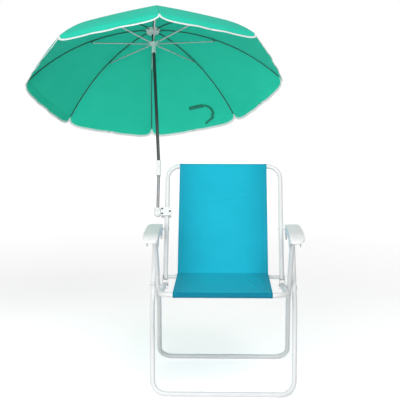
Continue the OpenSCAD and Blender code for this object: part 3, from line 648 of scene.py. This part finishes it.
edgeOff = (1 - np.abs(across)) * halfWide
hem = 1 / (1 + np.exp((edgeOff - sling["hem"]) / sling["hemStep"]))  # 1 on the hem, 0 inside it
lift = sum(map(creaseOf, sling["creases"])) - sag + hem * sling["hemThick"] / 2
sideView = centreLine[:, None] + upward[:, None] * lift[..., None]
points = np.concatenate([(sling["aside"] + across * halfWide)[..., None], sideView], -1)
slingOuter = fromChair(points)
slingNormals = gridNormals(slingOuter)
if slingNormals[len(runs) // 4, len(u) // 2, 2] < 0:  # on the seat they point up
    slingNormals = -slingNormals
slingUv = np.stack([across * halfWide, r], -1)
slingCloth = clothShell("sling", slingOuter, slingNormals, sling["thickness"] + hem * sling["hemThick"],
                        cloths["slingCloth"], slingUv)
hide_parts("sling_seat", "sling_back")
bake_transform(slingCloth)

# the pocket sewn to the fold, which holds the sling to the crossbar
pocketShape = {
    "before": [[0.0955, 0.3748], [0.0925, 0.3690]], "after": [[0.0945, 0.3700], [0.0962, 0.3746]],
    "radius": 0.0080, "from": 165, "to": 488, "arcPoints": 40,
    "halfWide": 0.1625, "thickness": 0.0009, "rows": 70, "columns": 30,
}
roundBar = arcOf(place["hinge"], pocketShape["radius"], pocketShape["from"], pocketShape["to"],
                 pocketShape["arcPoints"])
pocketLine = np.concatenate([pocketShape["before"], roundBar, pocketShape["after"]])
pocketPath, pocketRuns = evenly(pocketLine, pocketShape["rows"])
pocketAcross = pocketShape["halfWide"] * np.linspace(-1, 1, pocketShape["columns"])[None, :]
pocketOuter = fromChair(np.stack(np.broadcast_arrays(pocketAcross, *pocketPath.T[:, :, None]), -1))
pocketUv = np.stack(np.broadcast_arrays(pocketAcross, pocketRuns[:, None]), -1)
pocket = clothShell("sling_pocket", pocketOuter, gridNormals(pocketOuter), pocketShape["thickness"],
                    cloths["slingCloth"], pocketUv)
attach(pocket, "seat")
print("sling:", round(float(runs[-1]), 3), "m long")

# the tie strap inside the canopy's edge: a wide tab sewn to the cloth, and the ribbon that curls down from
# it. Each is a line of (degrees from the rib, s) on the cloth
strap = {
    "tab": [(22.3, 0.907), (19.5, 0.905), (16.5, 0.904), (13.4, 0.906)],
    "ribbon": [
        (14.0, 0.905), (11.8, 0.909), (10.0, 0.930), (9.6, 0.965),
        (11.0, 1.000), (13.2, 1.200), (15.6, 1.450),
    ],
    "tabHalf": 0.0085, "ribbonHalf": 0.0048, "thick": 0.0008, "rows": 40,
    "stand": 0.0020, "tabCurl": 0.0, "ribbonCurl": 0.0050,
}


def smoothLine(points, count):
    # Catmull-Rom: each stretch between two points bends so that it leaves them in line with their neighbours
    p = np.asarray(points, float)
    p = np.concatenate([2 * p[:1] - p[1:2], p, 2 * p[-1:] - p[-2:-1]])
    at = np.linspace(0, len(p) - 3 - 1e-9, count)
    i, t = at.astype(int), (at % 1)[:, None]
    a, b, c, d = p[i], p[i + 1], p[i + 2], p[i + 3]
    bend = (2 * a - 5 * b + 4 * c - d) * t ** 2 + (3 * b - a - 3 * c + d) * t ** 3
    return 0.5 * (2 * b + (c - a) * t + bend)


for name in ("tab", "ribbon"):
    angles, s = smoothLine(strap[name], strap["rows"]).T
    inwards = -clothNormals(angles, s, 1)
    stand = strap["stand"] + strap[name + "Curl"] * np.sin(np.linspace(0, np.pi, strap["rows"]))
    line = clothAt(angles, s) + inwards * stand[:, None]
    forward = unit(np.gradient(line, axis=0))
    wide = unit(np.cross(forward, inwards))
    up = unit(np.cross(wide, forward))
    band = bandAlong("tie_" + name, onParasol(line, 6), wayOnParasol(wide, 6), wayOnParasol(up, 6),
                     strap[name + "Half"], strap["thick"], cloths["strapWebbing"])
    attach(band, "rib_6")
    tuple(wayOnParasol(np.array([0, 1.0, 0]), 6))
    tuple(onParasol(crownPin, 6))
    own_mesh(band)
    if name == "tab":
        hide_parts("tie_strap")
print("tie strap")

# the moulded pieces and how far their edges are rounded. Points closer than merge become one, and so do
# faces within flatWithin degrees; edges over roundOver are rounded, and what is over sharpOver stays sharp
moulded = {
    "widths": {"armrest_left": 0.0014, "armrest_right": 0.0014, "clamp_body": 0.0010, "clamp_jaw": 0.0010},
    "segments": 3, "merge": 0.00001, "mergeAfter": 0.000005,
    "flatWithin": 1.0, "roundOver": 32, "sharpOver": 40,
}


def softened(part, width, material):
    # a copy of a moulded CAD piece with its points merged and its sharp edges rounded by the width
    mesh = nodes[part].data.copy()
    piece = addObject(part + "_moulded", mesh)
    mesh.attributes.remove(mesh.attributes["custom_normal"])
    bm = bmesh.new()
    bm.from_mesh(mesh)
    bmesh.ops.remove_doubles(bm, verts=bm.verts, dist=moulded["merge"])
    flatLimit, roundLimit = np.radians([moulded["flatWithin"], moulded["roundOver"]])
    bmesh.ops.dissolve_limit(bm, angle_limit=flatLimit, verts=bm.verts, edges=bm.edges)
    sharp = [e for e in bm.edges if len(e.link_faces) == 2 and e.calc_face_angle(0) > roundLimit]
    bmesh.ops.bevel(bm, geom=sharp, offset=width, segments=moulded["segments"], profile=0.5, affect="EDGES",
                    clamp_overlap=True)
    bmesh.ops.remove_doubles(bm, verts=bm.verts, dist=moulded["mergeAfter"])
    bm.to_mesh(mesh)
    bm.free()
    mesh.polygons.foreach_set("use_smooth", np.full(len(mesh.polygons), True))
    mesh.set_sharp_from_angle(angle=np.radians(moulded["sharpOver"]))
    piece.material_slots[0].material = material
    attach(piece, nodes[part]["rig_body"])
    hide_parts(part)
    return piece


for part, width in moulded["widths"].items():
    softened(part, width, painted["white_plastic"])
print("moulded pieces softened")

# the photograph's camera: its place, its look downwards and to the left, its lens in millimetres
camera = {"at": (0.256669, -3.749335, 1.083), "down": 6.97, "left": 1.46, "lens": 84.7, "film": 36}
eye = addObject("eye", bpy.data.cameras.new("eye"))
eye.location = camera["at"]
eye.rotation_euler = np.radians([90 - camera["down"], 0, camera["left"]])
eye.data.lens = camera["lens"]
eye.data.sensor_width = camera["film"]
bpy.context.scene.camera = eye

# a plain studio round the chair: round soft lamps, an even world and a pale floor
studio = {
    "lamps": {
        "keyLamp": {"at": (1.4, -2.4, 3.6), "aim": (0, 0, 0.6), "size": 2.2, "power": 52.0},
        "frontLamp": {"at": (-1.0, -3.5, 1.7), "aim": (0, 0, 0.9), "size": 2.6, "power": 76.0},
        "fillLamp": {"at": (-3.2, -1.6, 2.2), "aim": (0, 0, 0.6), "size": 2.6, "power": 6.0},
    },
    "worldLight": 0.22, "floorHalf": 16.0, "floorHeight": -0.0005, "floorTone": 0.93, "floorRough": 0.85,
    "near": 1.6, "far": 5.0, "glowNear": 0.52, "glowFar": 0.82,
}


def areaLamp(name, look):
    # a disc that lights along the way from its place to its aim, and isn't seen itself
    lamp = addObject(name, bpy.data.lights.new(name, "AREA"))
    lamp.data.shape = "DISK"
    lamp.data.size = look["size"]
    lamp.data.energy = look["power"]
    lamp.visible_camera = False
    lamp.location = look["at"]
    x, y, z = np.array(look["aim"]) - np.array(look["at"])
    lamp.rotation_euler = (float(np.arctan2(np.hypot(x, y), -z)), 0, float(np.arctan2(-x, y)))


for name, look in studio["lamps"].items():
    areaLamp(name, look)
world = bpy.data.worlds.new("studio")
bpy.context.scene.world = world
world.use_nodes = True
rays = node(world, "ShaderNodeLightPath").outputs
shown = maths(world, "MAXIMUM", rays["Is Camera Ray"], rays["Is Glossy Ray"])
strength = node(world, "ShaderNodeMapRange", Value=shown, To_Min=studio["worldLight"], To_Max=1.0)
light = world.node_tree.nodes["Background"]
setInput(world, light, "Color", (1, 1, 1, 1))
setInput(world, light, "Strength", strength.outputs[0])

# the floor fades into the white round it with the distance from the chair
corner = np.array([-studio["floorHalf"], studio["floorHalf"]])
floorPoints = np.stack(np.broadcast_arrays(corner[None, :], corner[:, None], studio["floorHeight"]), -1)
paper = newMaterial("paper", (studio["floorTone"],) * 3, studio["floorRough"])
away = node(paper, "ShaderNodeVectorMath", i0=objectPlace(paper))
away.operation = "LENGTH"
fade = node(paper, "ShaderNodeMapRange", Value=away.outputs["Value"], From_Min=studio["near"],
            From_Max=studio["far"], To_Min=studio["glowNear"], To_Max=studio["glowFar"])
rays = node(paper, "ShaderNodeLightPath").outputs
shown = maths(paper, "MAXIMUM", rays["Is Camera Ray"], rays["Is Glossy Ray"])
glow = maths(paper, "MULTIPLY", shown, fade.outputs[0])
setShader(paper, Emission_Color=(1, 1, 1, 1), Emission_Strength=glow)
drop = newMesh("floor", floorPoints, gridFaces(2, 2), paper)
bpy.context.scene.view_settings.view_transform = "Standard"
print("camera, lamps and floor")
